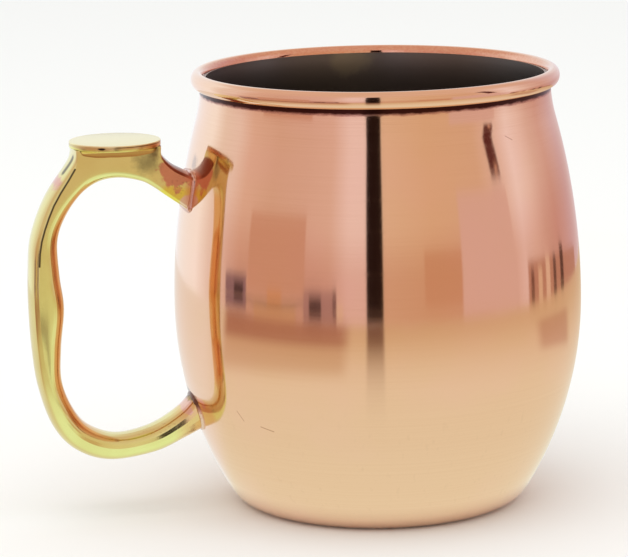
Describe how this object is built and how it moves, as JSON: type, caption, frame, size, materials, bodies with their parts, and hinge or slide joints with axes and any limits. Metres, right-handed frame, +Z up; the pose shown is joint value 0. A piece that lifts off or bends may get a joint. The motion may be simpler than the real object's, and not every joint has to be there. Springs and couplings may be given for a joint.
{
  "type": "mug",
  "caption": "Barrel-shaped copper mug with a rolled lip, nickel lining and a brass handle with a round thumb rest",
  "frame": {"origin": "centre of the base, on the plane that the mug stands on", "axes": "+Z up along the axis of the cup, the handle points along -X, and the X-Z plane is the handle's mid-plane"},
  "size_m": [0.1257, 0.092, 0.0985],
  "materials": {
    "polished_copper": "polished copper sheet with fine spinning lines and light scratches",
    "nickel_plate": "satin nickel plating with circular spinning lines",
    "cast_brass": "buffed cast brass with heat tint near the brazed joints",
    "polished_brass": "flat lapped brass, fine satin",
    "brass_filler": "brazing filler, smooth concave fillet",
    "copper_filler": "brazing filler with flux stain"
  },
  "bodies": {
    "root": {"copper_shell": "polished_copper", "nickel_lining": "nickel_plate", "handle": "cast_brass", "thumb_rest": "polished_brass", "thumb_rest_braze": "brass_filler", "upper_braze": "copper_filler", "lower_braze": "copper_filler"}
  },
  "joints": []
}
